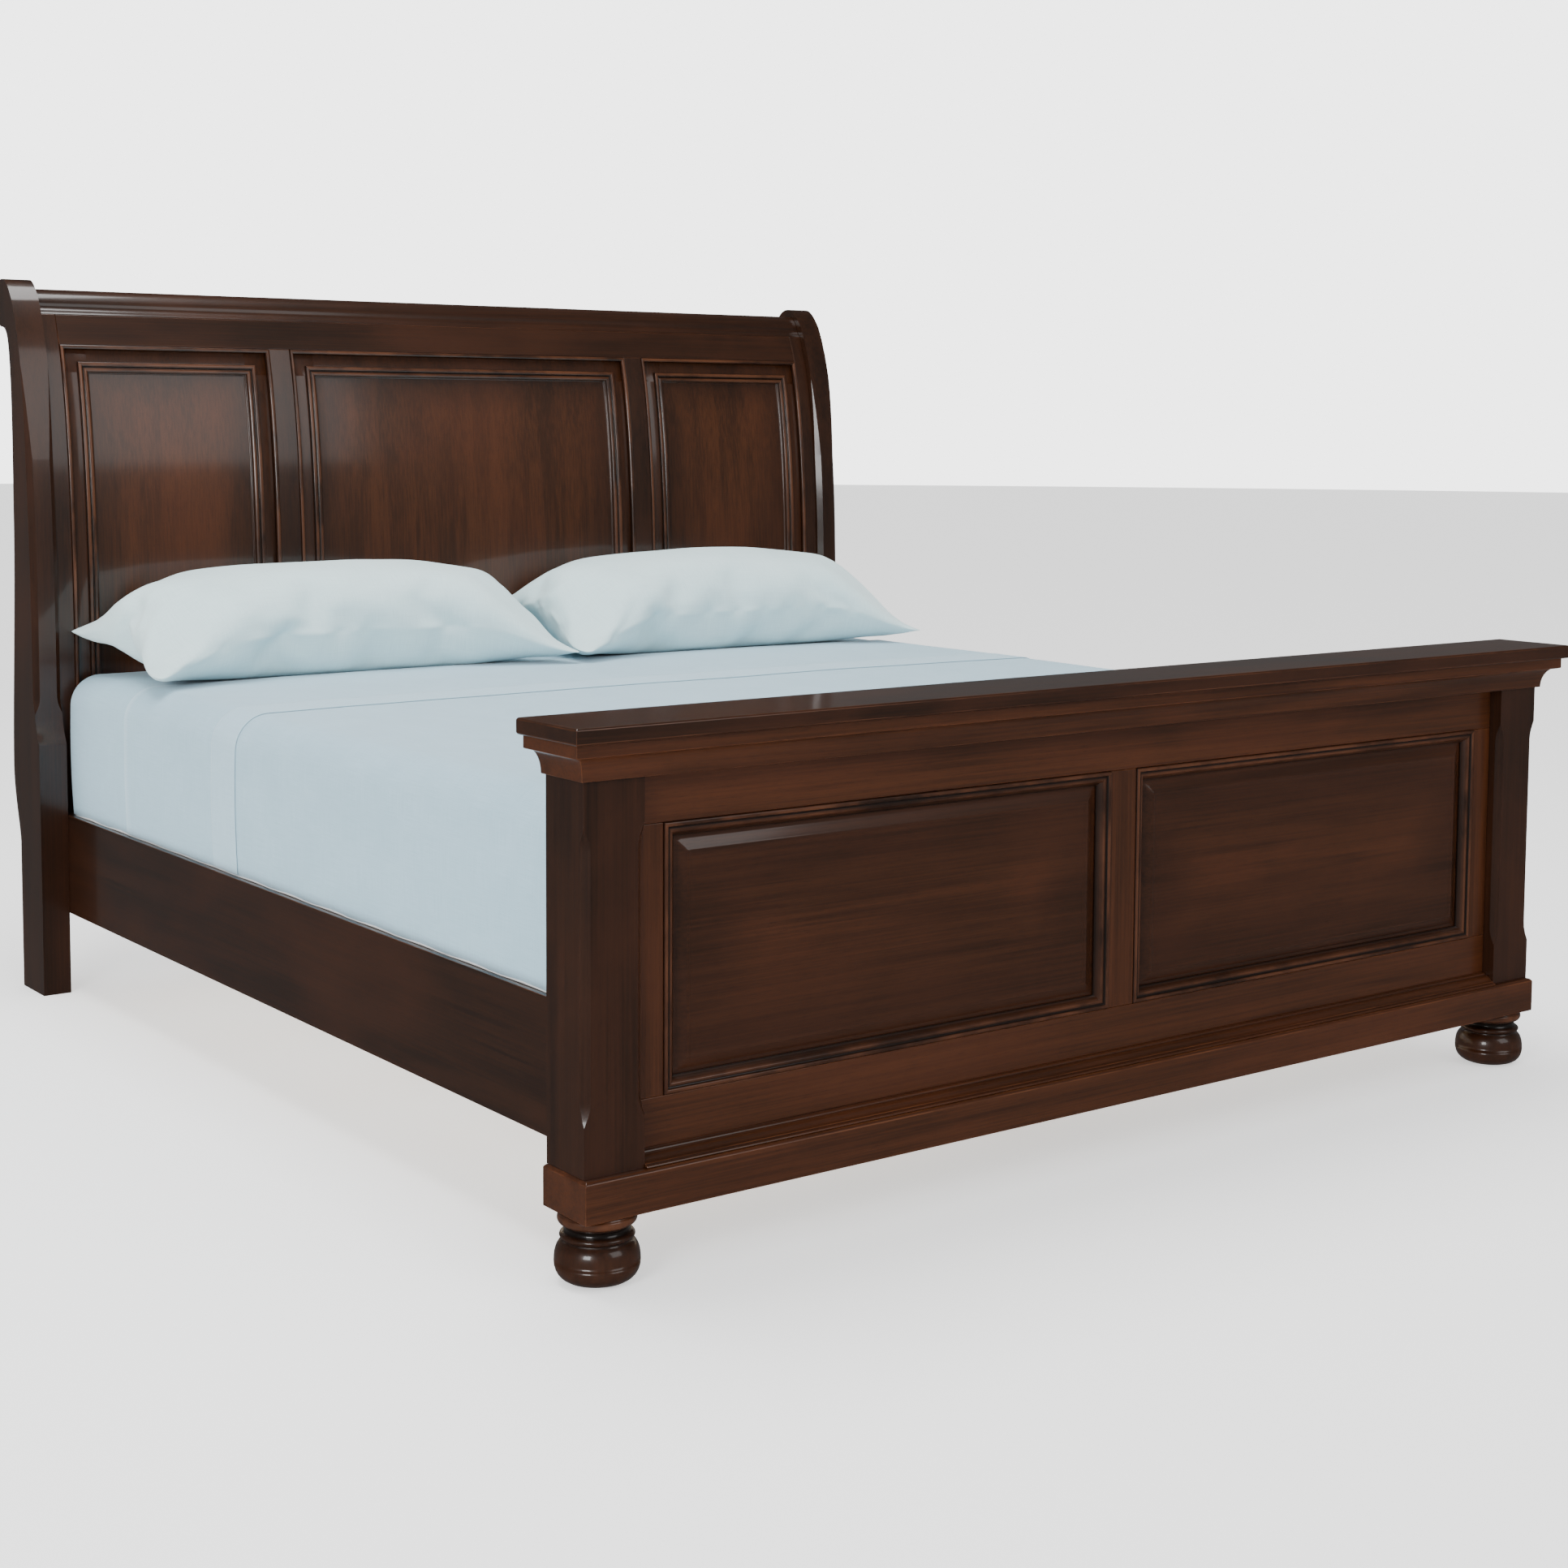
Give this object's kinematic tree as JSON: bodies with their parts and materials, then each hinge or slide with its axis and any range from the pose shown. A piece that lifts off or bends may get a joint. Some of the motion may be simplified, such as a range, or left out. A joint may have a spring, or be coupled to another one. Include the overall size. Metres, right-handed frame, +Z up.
{
  "type": "sleigh bed",
  "caption": "King sleigh bed: scrolled panelled headboard, low panelled footboard with moulded cap and bun feet, side rails, slats, foundation, mattress, sheets and pillows.",
  "frame": {"origin": "on the floor under the middle of the bed's overall length and width", "axes": "+X to the bed's right hand seen from the foot, +Y from the footboard to the headboard, +Z up"},
  "size_m": [2.182, 2.394, 1.498],
  "materials": {
    "espresso_wood": "satin",
    "cherry_wood": "satin",
    "pine_wood": "matte",
    "hook_steel": "satin",
    "leveller_nylon": "satin",
    "ticking_fabric": "matte",
    "sheet_cotton": "matte",
    "pillowcase_cotton": "matte"
  },
  "bodies": {
    "bedstead": {"headboard_post_left": "espresso_wood", "headboard_post_right": "espresso_wood", "headboard_crest": "espresso_wood", "headboard_stile_left": "espresso_wood", "headboard_stile_right": "espresso_wood", "headboard_muntin_left": "espresso_wood", "headboard_muntin_right": "espresso_wood", "headboard_top_rail": "espresso_wood", "headboard_bottom_rail": "espresso_wood", "headboard_bead_left": "espresso_wood", "headboard_bead_centre": "espresso_wood", "headboard_bead_right": "espresso_wood", "headboard_moulding_left": "espresso_wood", "headboard_moulding_centre": "espresso_wood", "headboard_moulding_right": "espresso_wood", "footboard_post_left": "espresso_wood", "footboard_post_right": "espresso_wood", "footboard_stile_left": "espresso_wood", "footboard_stile_right": "espresso_wood", "footboard_top_rail": "espresso_wood", "footboard_bottom_rail": "espresso_wood", "footboard_moulding_left": "espresso_wood", "footboard_moulding_right": "espresso_wood", "footboard_base_moulding": "espresso_wood", "footboard_plinth": "espresso_wood", "footboard_cornice": "espresso_wood", "footboard_cap": "espresso_wood", "bun_foot_left": "espresso_wood", "bun_foot_right": "espresso_wood", "side_rail_left": "espresso_wood", "side_rail_right": "espresso_wood", "headboard_panel_left": "cherry_wood", "headboard_panel_centre": "cherry_wood", "headboard_panel_right": "cherry_wood", "footboard_panel_left": "cherry_wood", "footboard_panel_right": "cherry_wood", "footboard_muntin": "cherry_wood", "slat_cleat_left": "pine_wood", "slat_cleat_right": "pine_wood", "slat_1": "pine_wood", "slat_2": "pine_wood", "slat_3": "pine_wood", "slat_4": "pine_wood", "slat_5": "pine_wood", "centre_leg_1": "pine_wood", "centre_leg_2": "pine_wood", "centre_leg_3": "pine_wood", "hook_plate_head_left": "hook_steel", "hook_plate_head_right": "hook_steel", "hook_plate_foot_left": "hook_steel", "hook_plate_foot_right": "hook_steel"},
    "foundation": {"foundation": "ticking_fabric"},
    "bedding": {"mattress": "ticking_fabric", "fitted_sheet": "sheet_cotton", "flat_sheet": "sheet_cotton"},
    "pillow_left": {"pillow_left": "pillowcase_cotton"},
    "pillow_right": {"pillow_right": "pillowcase_cotton"},
    "leveller_1": {"levelling_foot_1": "leveller_nylon"},
    "leveller_2": {"levelling_foot_2": "leveller_nylon"},
    "leveller_3": {"levelling_foot_3": "leveller_nylon"}
  },
  "joints": [
    {"name": "foundation_lift", "type": "slide", "parent": "bedstead", "child": "foundation", "axis": [0, 0, 1], "range_m": [0, 0.25]},
    {"name": "mattress_lift", "type": "slide", "parent": "foundation", "child": "bedding", "axis": [0, 0, 1], "range_m": [0, 0.3]},
    {"name": "pillow_left_lift", "type": "slide", "parent": "bedding", "child": "pillow_left", "axis": [0, 0, 1], "range_m": [0, 0.3]},
    {"name": "pillow_right_lift", "type": "slide", "parent": "bedding", "child": "pillow_right", "axis": [0, 0, 1], "range_m": [0, 0.3]},
    {"name": "leveller_1_adjust", "type": "slide", "parent": "bedstead", "child": "leveller_1", "axis": [0, 0, 1], "range_m": [0, 0.012]},
    {"name": "leveller_2_adjust", "type": "slide", "parent": "bedstead", "child": "leveller_2", "axis": [0, 0, 1], "range_m": [0, 0.012]},
    {"name": "leveller_3_adjust", "type": "slide", "parent": "bedstead", "child": "leveller_3", "axis": [0, 0, 1], "range_m": [0, 0.012]}
  ]
}
